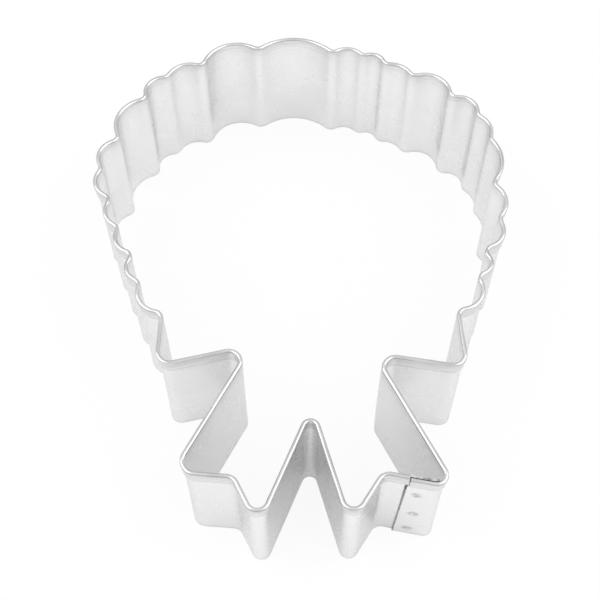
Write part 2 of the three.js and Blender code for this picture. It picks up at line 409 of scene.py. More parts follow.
@dataclass
class SweptGrid:
    """A closed profile carried along a path, as one grid of points.

    Attributes:
        points: Stations by profile points by three, in metres.
        along: Distance of each station along the path, in metres.
        around: Distance of each profile point round the profile and once round, in metres.
        wear: Wear of each point's cut edge, with a painted shadow along the lap's free edge and the plain
            end's top, from 0 to 1.
        fold_shade: How dark each point is painted along the fold, as painted shade and painted reflection,
            from 0 to 1.
        fold: How far each point belongs to the fold that the rolling polished, from 0 to 1.
    """

    points: np.ndarray
    along: np.ndarray
    around: np.ndarray
    wear: np.ndarray
    fold_shade: np.ndarray
    fold: np.ndarray

    def to_mesh(self, name: str) -> bpy.types.Mesh:
        """Make the grid a closed mesh with a capped end at each side.

        Point (i, j) joins (i + 1, j) and (i, j + 1), and the last profile point joins the first.

        Args:
            name: Name of the mesh.

        Returns:
            The mesh, with a plan of distances, its wear with painted shadow, its painted fold shade and its
            fold polish.
        """
        stations, sides, _ = self.points.shape
        index = np.arange(stations * sides).reshape(stations, sides)
        after = np.roll(index, -1, axis=1)
        quads = np.stack([index[:-1], index[1:], after[1:], after[:-1]], axis=2).reshape(-1, 4)
        caps = np.concatenate([index[0], index[-1][::-1]])
        loops = np.concatenate([quads.ravel(), caps])
        starts = np.concatenate([np.arange(len(quads)) * 4, len(quads) * 4 + np.array([0, sides])])
        mesh = bpy.data.meshes.new(name)
        mesh.vertices.add(stations * sides)
        mesh.vertices.foreach_set("co", self.points.astype(np.float32).ravel())
        mesh.loops.add(len(loops))
        mesh.loops.foreach_set("vertex_index", loops.astype(np.int32))
        mesh.polygons.add(len(starts))
        mesh.polygons.foreach_set("loop_start", starts.astype(np.int32))
        mesh.update(calc_edges=True)
        mesh.validate()
        self._add_plan(mesh, stations, sides)
        for layer, values in ((Layer.WEAR_AND_SHADOW, self.wear), (Layer.FOLD_SHADE, self.fold_shade), (Layer.FOLD, self.fold)):
            attribute = mesh.attributes.new(layer.value, "FLOAT", "POINT")
            attribute.data.foreach_set("value", values.astype(np.float32).ravel())
        return mesh

    def _add_plan(self, mesh: bpy.types.Mesh, stations: int, sides: int) -> None:
        """Give each face corner its distance along and round the strip, in metres.

        Args:
            mesh: The mesh of this grid.
            stations: Number of stations.
            sides: Number of profile points.
        """
        along = np.broadcast_to(self.along[:, None], (stations, sides + 1))
        around = np.broadcast_to(self.around[None, :], (stations, sides + 1))
        flat = np.stack([along, around], axis=2)
        corners = np.stack([flat[:-1, :-1], flat[1:, :-1], flat[1:, 1:], flat[:-1, 1:]], axis=2)
        caps = np.concatenate([flat[0, :-1], flat[-1, :-1][::-1]])
        layer = mesh.uv_layers.new(name=Layer.PLAN.value)
        places = np.concatenate([corners.reshape(-1, 2), caps])
        layer.data.foreach_set("uv", places.astype(np.float32).ravel())


@dataclass(frozen=True)
class Mottle:
    """A noise pattern of a finish.

    Attributes:
        scale: Cells of the noise per metre, by axis.
        span: Values of the noise that become the least value and 1.
        least: The least value.
        detail: Octaves of the noise.
    """

    scale: Triple
    span: Pair = (0.0, 1.0)
    least: float = 0.0
    detail: float = 2.0


@dataclass(frozen=True)
class TinplateFinish:
    """Bright tin on steel strip: rolled grain along the strip, soft clouds, fine scuffs and worn cut edges,
    with painted shade and painted dark reflection along the fold and painted shadow at the lap.

    Attributes:
        tin: Colour of the bright tin.
        cloud: Colour where the tin is a little duller.
        bare_steel_and_shadow: Colour of the cut steel at the edges, also of the painted shadow along the
            lap's free edge and the plain end's top.
        fold_shaded: Colour of the painted shade and painted dark reflection along the fold.
        grazing: Tint of the tin where it is seen along its surface.
        gloss: Roughness of the brightest and dullest tin.
        gloss_span: Values of the clouds and smears together that give these.
        smear_share: Share of the smears in that.
        scuff_rough: Roughness that a scuff adds.
        bare_rough: Roughness that the cut steel adds.
        polish: How much smoother the fold's crest is.
        clouds: Pattern of the clouds.
        smears: Pattern of the smears along the strip.
        scuffs: Pattern of the scuffs.
        streaks: Pattern of streaks in the painted shade along the fold.
        spots: Pattern of the cut steel and of its painted shadow.
        grain: Pattern of the rolling lines.
        grain_bump: Strength of these and their depth, in metres.
        bands: Pattern of the faint bands across the strip.
        band_bump: Strength of these and their depth, in metres.
    """

    tin: Triple = (0.905, 0.906, 0.907)
    cloud: Triple = (0.88, 0.881, 0.882)
    bare_steel_and_shadow: Triple = (0.27, 0.27, 0.275)
    fold_shaded: Triple = (0.55, 0.552, 0.555)
    grazing: Triple = (0.91, 0.91, 0.91)
    gloss: Pair = (0.24, 0.3)
    gloss_span: Pair = (0.3, 0.7)
    smear_share: float = 0.4
    scuff_rough: float = 0.015
    bare_rough: float = 0.12
    polish: float = 0.05
    clouds: Mottle = Mottle((95.0, 95.0, 95.0), (0.38, 0.68))
    smears: Mottle = Mottle((38.0, 260.0, 1.0))
    scuffs: Mottle = Mottle((900.0, 900.0, 160.0), (0.62, 0.74))
    streaks: Mottle = Mottle((150.0, 1900.0, 1.0), (0.35, 0.65), 0.35)
    spots: Mottle = Mottle((900.0, 900.0, 900.0), (0.3, 0.6), 0.6)
    grain: Mottle = Mottle((50.0, 2500.0, 1.0), detail=1.0)
    grain_bump: Pair = (0.025, 0.000005)
    bands: Mottle = Mottle((190.0, 9.0, 1.0), detail=1.0)
    band_bump: Pair = (0.4, 0.00006)

    def material(self, name: str) -> bpy.types.Material:
        """Build the procedural material.

        Args:
            name: Name of the material.

        Returns:
            A metal material that reads the strip's plan and attributes, and Object coordinates.
        """
        material = bpy.data.materials.new(name)
        graph = NodeGraph.start(material, "Principled BSDF")
        place = graph.add("ShaderNodeTexCoord").outputs["Object"]
        plan = graph.add("ShaderNodeUVMap", uv_map=Layer.PLAN.value).outputs["UV"]
        # Painted shade and painted dark reflection along the fold, in streaks.
        fold_shade = graph.math("MULTIPLY", graph.layer(Layer.FOLD_SHADE), graph.mottle(plan, self.streaks))
        # Cut steel at the edges, with painted shadow along the lap's free edge and the plain end's top.
        edge = graph.math("MULTIPLY", graph.layer(Layer.WEAR_AND_SHADOW), graph.mottle(place, self.spots))
        tone = graph.mix_colour(graph.mottle(place, self.clouds), self.tin, self.cloud)
        tone = graph.mix_colour(fold_shade, tone, self.fold_shaded)
        dull = graph.total(
            (graph.noise(place, self.clouds), 1.0 - self.smear_share),
            (graph.noise(plan, self.smears), self.smear_share),
        )
        rough = graph.total(
            (graph.span(dull, *self.gloss_span, *self.gloss), 1.0),
            (graph.mottle(place, self.scuffs), self.scuff_rough),
            (edge, self.bare_rough),
            (graph.layer(Layer.FOLD), -self.polish),
        )
        fine = graph.bump(graph.noise(plan, self.grain), *self.grain_bump)
        graph.fill(graph.shader, {
            "Base Color": graph.mix_colour(edge, tone, self.bare_steel_and_shadow),
            "Roughness": rough,
            "Normal": graph.bump(graph.noise(plan, self.bands), *self.band_bump, fine),
            "Specular Tint": (*self.grazing, 1.0),
            "Metallic": 1.0,
        })
        return material


@dataclass(frozen=True)
class WeldFinish:
    """Tin that the electrode has pressed and warmed: duller in the middle of the dish, with fine pitting.

    Attributes:
        tin: Colour of the tin at the button's rim.
        pressed: Colour in the middle of the dish.
        gloss: Roughness at the rim and in the middle.
        spots: Pattern of the pressed tin.
        pits: Pattern of the pitting.
        pit_bump: Strength of the pitting and its depth, in metres.
    """

    tin: Triple = (0.9, 0.901, 0.902)
    pressed: Triple = (0.46, 0.462, 0.465)
    gloss: Pair = (0.27, 0.42)
    spots: Mottle = Mottle((1100.0, 1100.0, 1100.0), (0.35, 0.62), 0.35)
    pits: Mottle = Mottle((3200.0, 3200.0, 3200.0), (0.3, 0.7), 0.7, 3.0)
    pit_bump: Pair = (0.2, 0.00001)

    def material(self, name: str) -> bpy.types.Material:
        """Build the procedural material.

        Args:
            name: Name of the material.

        Returns:
            A metal material that reads the weld's wear attribute and Object coordinates.
        """
        material = bpy.data.materials.new(name)
        graph = NodeGraph.start(material, "Principled BSDF")
        place = graph.add("ShaderNodeTexCoord").outputs["Object"]
        marks = graph.math("MULTIPLY", graph.mottle(place, self.spots), graph.mottle(place, self.pits))
        dull = graph.math("MULTIPLY", graph.layer(Layer.WEAR_AND_SHADOW), marks)
        graph.fill(graph.shader, {
            "Base Color": graph.mix_colour(dull, self.tin, self.pressed),
            "Roughness": graph.span(dull, 0.0, 1.0, *self.gloss),
            "Normal": graph.bump(graph.noise(place, self.pits), *self.pit_bump),
            "Metallic": 1.0,
        })
        return material


@dataclass
class NodeGraph:
    """A node tree, with short ways to add what the finishes and the room need.

    Attributes:
        tree: The node tree.
        shader: The shader that it starts with.
    """

    tree: bpy.types.NodeTree
    shader: bpy.types.Node

    @classmethod
    def start(cls, owner: bpy.types.Material | bpy.types.World, shader: str) -> "NodeGraph":
        """Start the node tree of a material or a world.

        Args:
            owner: The new material or world.
            shader: Name of the shader that it starts with.

        Returns:
            The graph.
        """
        owner.use_nodes = True
        return cls(owner.node_tree, owner.node_tree.nodes[shader])

    def add(self, kind: str, inputs: Inputs | None = None, **settings: object) -> bpy.types.Node:
        """Add a node, set its properties and fill its inputs.

        Args:
            kind: Node type.
            inputs: What goes into its inputs, by their names or numbers.
            **settings: Properties by name.

        Returns:
            The node.
        """
        node = self.tree.nodes.new(kind)
        for key, value in settings.items():
            setattr(node, key, value)
        self.fill(node, inputs or {})
        return node

    def fill(self, node: bpy.types.Node, inputs: Inputs) -> None:
        """Link inputs of a node to sockets, or set their values.

        Args:
            node: The node.
            inputs: Sockets or values, by the names or numbers of the inputs.
        """
        for key, value in inputs.items():
            if isinstance(value, Socket):
                self.tree.links.new(value, node.inputs[key])
            else:
                node.inputs[key].default_value = value

    def layer(self, layer: Layer) -> Socket:
        """An attribute of the piece's mesh."""
        return self.add("ShaderNodeAttribute", attribute_name=layer.value).outputs["Fac"]

    def noise(self, vector: Socket, pattern: Mottle) -> Socket:
        """Noise of a vector, from 0 to 1.

        Args:
            vector: Object coordinates or the strip's plan, in metres.
            pattern: Scale and detail of the noise.

        Returns:
            The noise.
        """
        scaled = self.add("ShaderNodeMapping", {"Vector": vector, "Scale": pattern.scale}).outputs["Vector"]
        inputs = {"Vector": scaled, "Scale": 1.0, "Detail": pattern.detail}
        return self.add("ShaderNodeTexNoise", inputs).outputs["Fac"]

    def mottle(self, vector: Socket, pattern: Mottle) -> Socket:
        """Noise of a vector, from the pattern's least value to 1."""
        return self.span(self.noise(vector, pattern), *pattern.span, pattern.least)

    def span(self, value: Socket, low: float, high: float, to_low: float, to_high: float = 1.0) -> Socket:
        """Map a range of a value to another range, clamped."""
        inputs = {"Value": value, "From Min": low, "From Max": high, "To Min": to_low, "To Max": to_high}
        return self.add("ShaderNodeMapRange", inputs).outputs["Result"]

    def math(self, operation: str, *values: object) -> Socket:
        """Join values by an operation."""
        return self.add("ShaderNodeMath", dict(enumerate(values)), operation=operation).outputs["Value"]

    def total(self, *terms: tuple[Socket, float]) -> Socket:
        """Sum of values, each times its weight.

        Args:
            *terms: Values with their weights.

        Returns:
            The sum.
        """
        result = 0.0
        for value, weight in terms:
            result = self.math("MULTIPLY_ADD", value, weight, result)
        return result

    def mix_colour(self, factor: Socket, first: Socket | Triple, second: Socket | Triple) -> Socket:
        """Mix two colours, given as sockets or as red, green and blue."""
        first, second = ((*tone, 1.0) if isinstance(tone, tuple) else tone for tone in (first, second))
        return self.add("ShaderNodeMix", {"Factor": factor, 6: first, 7: second}, data_type="RGBA").outputs[2]

    def bump(self, height: Socket, strength: float, depth: float, normal: Socket | None = None) -> Socket:
        """Bump the surface by a height times a depth.

        Args:
            height: Height, from 0 to 1.
            strength: Strength of the bump.
            depth: Depth that a height of 1 stands for, in metres.
            normal: Normal that it comes on top of, if not the surface's own.

        Returns:
            The new normal.
        """
        inputs = {"Height": height, "Strength": strength, "Distance": depth}
        if normal is not None:
            inputs["Normal"] = normal
        return self.add("ShaderNodeBump", inputs).outputs["Normal"]

    def seen(self, camera: float, mirror: float) -> Socket:
        """One share where the camera sees a surface itself, another where the metal mirrors it, else 0.

        Args:
            camera: Share for what the camera sees.
            mirror: Share for what the metal mirrors.

        Returns:
            The share for the ray that is traced.
        """
        ray = self.add("ShaderNodeLightPath").outputs
        mirrored = self.math("MAXIMUM", ray["Is Glossy Ray"], ray["Is Transmission Ray"])
        return self.total((ray["Is Camera Ray"], camera), (mirrored, mirror))


def show(mesh: bpy.types.Mesh, name: str) -> bpy.types.Object:
    """Put a mesh in the scene at the origin.

    Args:
        mesh: The finished mesh.
        name: Name of the object.

    Returns:
        The object.
    """
    thing = bpy.data.objects.new(name, mesh)
    bpy.context.scene.collection.objects.link(thing)
    return thing


def settle(thing: bpy.types.Object) -> None:
    """Replace an object's mesh by the result of its modifiers, then drop them.

    Args:
        thing: The object.
    """
    graph = bpy.context.evaluated_depsgraph_get()
    graph.update()
    solved = thing.evaluated_get(graph)
    made = bpy.data.meshes.new_from_object(solved, preserve_all_data_layers=True, depsgraph=graph)
    thing.modifiers.clear()
    thing.data = made


def dress(thing: bpy.types.Object, material: bpy.types.Material, node: str) -> None:
    """Finish a piece: material, smooth faces with sharp cut edges, and its place in the frame.

    Args:
        thing: The piece.
        material: Its finish.
        node: The solid that it stands for.
    """
    mesh = thing.data
    mesh.materials.clear()
    mesh.materials.append(material)
    mesh.polygons.foreach_set("use_smooth", np.ones(len(mesh.polygons), dtype=bool))
    mesh.set_sharp_from_angle(angle=SHARP_ANGLE)
    mesh.update()
    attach(thing, "root")
    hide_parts(node)
    LOG.info("%s: %d faces", thing.name, len(mesh.polygons))


@dataclass(frozen=True)
class Wave:
    """One sine wave along the strip.

    Attributes:
        share: Its height as a share of the first wave's.
        stretch: Length of a radian of it, in millimetres.
        phase: Where it starts, in radians.
    """

    share: float
    stretch: float
    phase: float

    def at(self, distance: np.ndarray) -> np.ndarray:
        """Share times the sine of the phase plus the distance over the stretch."""
        return self.share * np.sin(distance / self.stretch + self.phase)


def round_about(out: np.ndarray, height: np.ndarray) -> np.ndarray:
    """Distance of each point of a section round it, and once right round."""
    loop = np.stack([out, height], axis=1)
    return np.concatenate(([0.0], np.cumsum(np.hypot(*(np.roll(loop, -1, axis=0) - loop).T))))


@dataclass
class StripSection:
    """Points round the section of the hemmed strip, in millimetres.

    Attributes:
        out: Outward distance of each point from the middle of the rim.
        height: Height of each point.
        hem: How far each point belongs to the hem's flange, up to 1 at its lower edge.
        rim: Height of the rim.
        rim_half: Half the thickness of the rim.
        hem_foot: Height of the hem's lower edge.
    """

    out: np.ndarray
    height: np.ndarray
    hem: np.ndarray
    rim: float
    rim_half: float
    hem_foot: float


@dataclass(frozen=True)
class StripWearAndShade:
    """What the making left on the tin, with painted shade and painted dark reflection along the fold and
    painted shadow at the lap, in millimetres and in values from 0 to 1.

    Attributes:
        shear_width: Width of the cut steel and the painted shadow of the gap along the lap's free edge.
        shear_solid: Share of that width that is fully dark.
        shear_hem: How much less dark it is on the hem.
        shear_blend: Height under the hem over which it gets less bare.
        foot_wear: Wear at the cutting edge.
        foot_fade: Height over which that falls to about a third.
        hem_wear: Wear at the hem's lower edge.
        plain_wear_and_shadow: Wear along the foot of the plain end, and cut steel with a painted shadow of
            the gap along its top.
        crest_shade: How dark the outer side of the fold's crest is painted, as a painted dark reflection.
        crest_inner: Share of that on its inner side.
        crest_span: Where the inner side ends and the outer one starts, in halves of the rim.
        flange_darkening: How dark the hem's flange is painted just under the fold, as a painted dark
            reflection line.
        flange_keep: Share of that further down.
        flange_fade: Height over which the rest falls to about a third.
        flange_loss: How much of it is lost at the hem's lower edge.
        flange_span: Shares of the flange between which it is lost.
        inside_shade: How dark the inside of the wall is painted just under the fold, as a painted shadow.
        inside_fade: Height over which that falls to about a third.
        polish_span: Depths below the rim where the polish starts and is full, in halves of the rim.
    """

    shear_width: float = 0.2
    shear_solid: float = 0.9
    shear_hem: float = 0.75
    shear_blend: float = 0.5
    foot_wear: float = 0.5
    foot_fade: float = 0.25
    hem_wear: float = 0.3
    plain_wear_and_shadow: Pair = (0.4, 0.85)
    crest_shade: float = 0.95
    crest_inner: float = 0.7
    crest_span: Pair = (-0.6, 0.2)
    flange_darkening: float = 0.85
    flange_keep: float = 0.65
    flange_fade: float = 0.25
    flange_loss: float = 0.8
    flange_span: Pair = (0.2, 0.9)
    inside_shade: float = 0.85
    inside_fade: float = 1.2
    polish_span: Pair = (1.6, 0.9)

    def shear_stations(self) -> np.ndarray:
        """Distances along the strip that bring out the edge of the cut steel and its painted shadow."""
        return self.shear_width * np.array([0.5, self.shear_solid, 1.0, 1.2])

    def worn(self, distance: np.ndarray, section: StripSection) -> np.ndarray:
        """Wear of the cut edges, with a painted shadow along the lap's free edge.

        It falls to one over e with each fading height above the cutting edge, and grows with the sixth power
        of the flange's share towards the hem's lower edge. The lap's free edge shows cut steel with a painted
        shadow of the gap under it, less so on the hem.

        Args:
            distance: Distance of each station along the strip.
            section: The strip's section.

        Returns:
            Values of stations by section points.
        """
        foot = self.foot_wear * np.exp(-section.height / self.foot_fade)
        edges = np.maximum(foot, self.hem_wear * section.hem**6)
        # Painted shadow of the gap, with the cut steel, along the lap's free edge.
        sheared_and_shadowed = 1.0 - smooth_step(distance, self.shear_solid * self.shear_width, self.shear_width)
        hemmed = smooth_step(section.height, section.hem_foot - self.shear_blend, section.hem_foot)
        return np.maximum(edges, sheared_and_shadowed[:, None] * (1.0 - self.shear_hem * hemmed))

    def fold_shaded(self, section: StripSection) -> np.ndarray:
        """How dark the fold is painted, round the section.

        The fold carries a painted dark reflection all over, darkest on its outer side. On the flange and on
        the inside of the wall the painted darkening falls to one over e with each fading height below the
        fold: a painted shadow on the inside, and on the flange a painted dark reflection line that leaves a
        darker flange, which keeps a share of it that ends at its edge.

        Args:
            section: The strip's section.

        Returns:
            A value for each section point.
        """
        below = section.rim - section.rim_half - section.height
        under = np.maximum(below, 0.0)
        side = section.out / section.rim_half
        outer = smooth_step(side, *self.crest_span)
        # Painted dark reflection on the fold's crest, darkest on its outer side.
        crest = self.crest_shade * (self.crest_inner + (1.0 - self.crest_inner) * outer) * (below <= 0.0)
        line = self.flange_keep + (1.0 - self.flange_keep) * np.exp(-under / self.flange_fade)
        ending = 1.0 - self.flange_loss * smooth_step(section.hem, *self.flange_span)
        # Painted dark reflection line under the fold, fading to a darker flange.
        flange = self.flange_darkening * line * ending * np.isclose(side, 1.0)
        # Painted shadow on the inside of the wall, under the fold.
        inside = self.inside_shade * np.exp(-under / self.inside_fade) * np.isclose(side, -1.0)
        return np.maximum(np.maximum(crest, flange), inside)

    def polished(self, section: StripSection) -> np.ndarray:
        """How far each section point belongs to the fold that the rolling polished."""
        start, full = section.rim - section.rim_half * np.array(self.polish_span)
        return smooth_step(section.height, start, full)


@dataclass
class CutterStrip:
    """The bent strip: wall, outward hem and plain end under the lap, in millimetres.

    Attributes:
        outline: Plan of the strip.
        depth: Height from the cutting edge to the rim.
        sheet: Thickness of the sheet.
        cut_round: Rounding of a cut edge.
        hem_gap: Room between the wall and the folded hem.
        hem_height: Height of the hem from the rim down.
        hem_lean: How far the hem's lower edge leans to the wall.
        hem_wave: How much that edge wanders.
        hem_waves: The waves that it wanders by.
        hem_clip: How far past the lap's free edge the outer layer's hem starts.
        hem_reach: How much further than the wall the inner layer's hem goes on towards it.
        hem_blend: Height under the hem over which the wall joins these ends.
        clip_ease: Length over which such an end eases out, as a multiple of its shift.
        hand_wave: How far the wall bellies in and out between its edges.
        hand_waves: The waves that it bellies by.
        hand_fade: Distances from either end at which the belly starts and is full.
        plain_slack: How much each face of the plain end lies inside the hemmed wall.
        plain_bands: Heights of the worn band along the plain end's foot and of the painted shadow band along
            its top.
        notch_depth: How far below the rim it stops.
        notch_flare: How far its top leans to the layer before it.
        flare_height: Height over which it leans.
        flare_run: Distances along it at which the lean starts and is full.
        step: Longest step along a straight run.
        step_turn: Largest turn in a step, in degrees.
        wall_rows: Points up a face of the wall.
        flange_rows: Points up a face of the flange.
        fold_rows: Points round the inside and the outside of the fold.
        wear: What the making left on the tin, with painted shade and painted shadow.
    """

    outline: RibbonOutline
    depth: float = 25.0
    sheet: float = 0.3
    cut_round: float = 0.05
    hem_gap: float = 0.25
    hem_height: float = 3.0
    hem_lean: float = 0.2
    hem_wave: float = 0.09
    hem_waves: tuple[Wave, ...] = (Wave(1.0, 7.7, 0.6), Wave(0.6, 3.1, 0.0))
    hem_clip: float = 0.35
    hem_reach: float = 0.5
    hem_blend: float = 0.2
    clip_ease: float = 4.0
    hand_wave: float = 0.06
    hand_waves: tuple[Wave, ...] = (Wave(1.0, 5.3, 0.0), Wave(0.7, 9.1, 1.3), Wave(0.5, 2.9, 0.4))
    hand_fade: Pair = (8.0, 16.0)
    plain_slack: float = 0.01
    plain_bands: Pair = (0.4, 0.1)
    notch_depth: float = 0.15
    notch_flare: float = 0.09
    flare_height: float = 1.0
    flare_run: Pair = (0.6, 1.2)
    step: float = 0.8
    step_turn: float = 6.0
    wall_rows: int = 22
    flange_rows: int = 9
    fold_rows: tuple[int, int] = (8, 17)
    wear: StripWearAndShade = StripWearAndShade()

    @property
    def rim_half(self) -> float:
        """Half the thickness of the folded rim."""
        return self.sheet + self.hem_gap / 2.0

    @property
    def hem_foot(self) -> float:
        """Height of the hem's lower edge."""
        return self.depth - self.hem_height

    def profile(self) -> StripSection:
        """Section of the strip: up the outside of the wall, round the fold, and down the inside.

        The fold is two half circles about a point half the rim below the top. Faces between are straight,
        with rows that crowd at both ends as a cosine does, on the flange at its top as a square does.

        Returns:
            The section.
        """
        half, gap, cut, foot = self.rim_half, self.hem_gap / 2.0, self.cut_round, self.hem_foot
        inside, outside = -half, -half + self.sheet
        fold = self.depth - half
        rows = cut + (fold - cut) * (0.5 - 0.5 * np.cos(np.linspace(0.0, np.pi, self.wall_rows)))
        flange = fold - (fold - foot - cut) * np.linspace(1.0, 0.0, self.flange_rows) ** 2
        inner = np.linspace(np.pi, 0.0, self.fold_rows[0])
        outer = np.linspace(0.0, np.pi, self.fold_rows[1])
        parts = [
            ([inside + cut, outside - cut], 0.0, 0.0),
            (outside, rows[:-1], 0.0),
            (gap * np.cos(inner), fold + gap * np.sin(inner), 0.0),
            (gap, flange[-2::-1], 1.0),
            ([gap + cut, half - cut], foot, 1.0),
            (half, flange[:-1], 1.0),
            (half * np.cos(outer), fold + half * np.sin(outer), 0.0),
            (inside, rows[-2::-1], 0.0),
        ]
        out, height, hem = np.hstack([np.stack(np.broadcast_arrays(*part)) for part in parts])
        hem *= smooth_step(fold - height, 0.0, fold - foot)
        return StripSection(out, height, hem, self.depth, half, foot)

    def belly(self, distance: np.ndarray) -> np.ndarray:
        """How far the wall stands out at half height, from a few waves along it that fade out at the lap.

        Args:
            distance: Distances along the strip, from its start to its end.

        Returns:
            Outward distances.
        """
        waves = sum(wave.at(distance) for wave in self.hand_waves)
        fade = smooth_step(distance, *self.hand_fade) * smooth_step(distance[-1] - distance, *self.hand_fade)
        return self.hand_wave * waves * fade

    def end_shift(self, distance: np.ndarray, height: np.ndarray, first_run: float) -> np.ndarray:
        """How far points near the lap shift along the tail's end.

        On the first straight run they slide back towards the lap's free edge, in proportion to the distance
        left and to the depth below the rim. The hem's two ends shift forwards and ease out by a smooth step.

        Args:
            distance: Distance of each station along the strip.
            height: Height of each section point.
            first_run: Length of the first straight run.

        Returns:
            Shifts of stations by section points.
        """
        slide = np.clip(1.0 - distance / first_run, 0.0, 1.0)[:, None] * (1.0 - height / self.depth)
        hemmed = smooth_step(height, self.hem_foot - self.hem_blend, self.hem_foot)
        to_end = distance[-1] - distance
        clip = self.hem_clip * (1.0 - smooth_step(distance, 0.0, self.clip_ease * self.hem_clip))
        clip += self.hem_reach * (1.0 - smooth_step(to_end, 0.0, self.clip_ease * self.hem_reach))
        return clip[:, None] * hemmed - self.outline.seam_lean * slide

    def hemmed_run(self) -> SweptGrid:
        """Carry the section along the plan.

        The wall's belly is added as a half sine over its height, the hem's lower edge leans and wanders a
        little, and the points near the lap are shifted along the tail's end.

        Returns:
            The grid of the hemmed run.
        """
        path = self.outline.hemmed_path()
        stations = path.stations(self.step, radians(self.step_turn))
        distance = np.union1d(stations, self.wear.shear_stations())
        section = self.profile()
        belly = self.belly(distance)[:, None] * np.sin(np.pi * section.height / self.depth)
        wander = sum(wave.at(distance) for wave in self.hem_waves)[:, None]
        across = section.out + belly - self.hem_lean * section.hem
        height = section.height + self.hem_wave * wander * section.hem
        shift = self.end_shift(distance, section.height, path.lengths[0])
        grid = path.carry(distance, across, height)
        grid[:, :, :2] += shift[:, :, None] * self.outline.end_along()
        around = round_about(section.out, section.height)
        # Wear of the cut edges, with painted shadow along the lap's free edge.
        wear = self.wear.worn(distance, section)
        # Painted shade and painted dark reflection along the fold, the same at every station.
        fold_shade = np.broadcast_to(self.wear.fold_shaded(section), wear.shape)
        fold = np.broadcast_to(self.wear.polished(section), wear.shape)
        return SweptGrid(grid * MM, distance * MM, around * MM, wear, fold_shade, fold)

    def plain_run(self) -> SweptGrid:
        """The wall alone behind the lap, a shade thinner so that it slides into the hemmed run.

        The top of its outer face leans out by a smooth step of the height, once the run is clear of the hem.

        Returns:
            The grid of the plain end.
        """
        inside = -self.rim_half + self.plain_slack
        outside = -self.rim_half + self.sheet - self.plain_slack
        top = self.depth - self.notch_depth
        # The plain end's top is darkened: cut steel with a painted shadow of the gap under the lap.
        foot_wear, top_wear_and_shadow = self.wear.plain_wear_and_shadow
        low, high = self.plain_bands[0], top - self.plain_bands[1]
        out, height, wear = np.array([
            (inside, self.plain_slack, foot_wear),
            (outside, self.plain_slack, foot_wear),
            (outside, low, 0.0),
            (outside, top - self.flare_height, 0.0),
            (outside, high, 0.0),
            (outside, top, top_wear_and_shadow),
            (inside, top, top_wear_and_shadow),
            (inside, high, 0.0),
            (inside, low, 0.0),
        ]).T
        path = self.outline.plain_path()
        distance = path.stations(self.step / 2.0, radians(self.step_turn))
        lean = smooth_step(height, top - self.flare_height, high) * (out == outside)
        across = out + self.notch_flare * smooth_step(distance, *self.flare_run)[:, None] * lean
        size = across.shape
        grid = path.carry(distance, across, np.broadcast_to(height, size))
        around = round_about(out, height)
        none = np.zeros(size)
        return SweptGrid(grid * MM, distance * MM, around * MM, np.broadcast_to(wear, size), none, none)

    def build(self, holes: bpy.types.Object) -> bpy.types.Object:
        """Make the strip, join its plain end and open the holes that the welds fill.

        Args:
            holes: Cutting bodies of the weld holes, which are removed.

        Returns:
            The strip.
        """
        strip = show(self.hemmed_run().to_mesh("cutter_strip_mesh"), "tinplate_strip")
        plain = show(self.plain_run().to_mesh("plain_end_mesh"), "plain_end")
        for operation, body in (("UNION", plain), ("DIFFERENCE", holes)):
            cut = strip.modifiers.new(operation.lower(), "BOOLEAN")
            cut.operation = operation
            cut.solver = "EXACT"
            cut.object = body
            settle(strip)
            bpy.data.objects.remove(body)
        return strip

    def dress(self, strip: bpy.types.Object, finish: TinplateFinish) -> None:
        """Give the strip its finish and its place."""
        dress(strip, finish.material("bright_tinplate"), "cutter_strip")


@dataclass(frozen=True)
class WeldPlace:
    """Where one spot weld stands.

    Attributes:
        node: The solid that it stands for.
        from_seam: Distance from the lap's free edge at the rim, in millimetres.
        height_share: Height as a share of the strip's depth.
    """

    node: str
    from_seam: float
    height_share: float


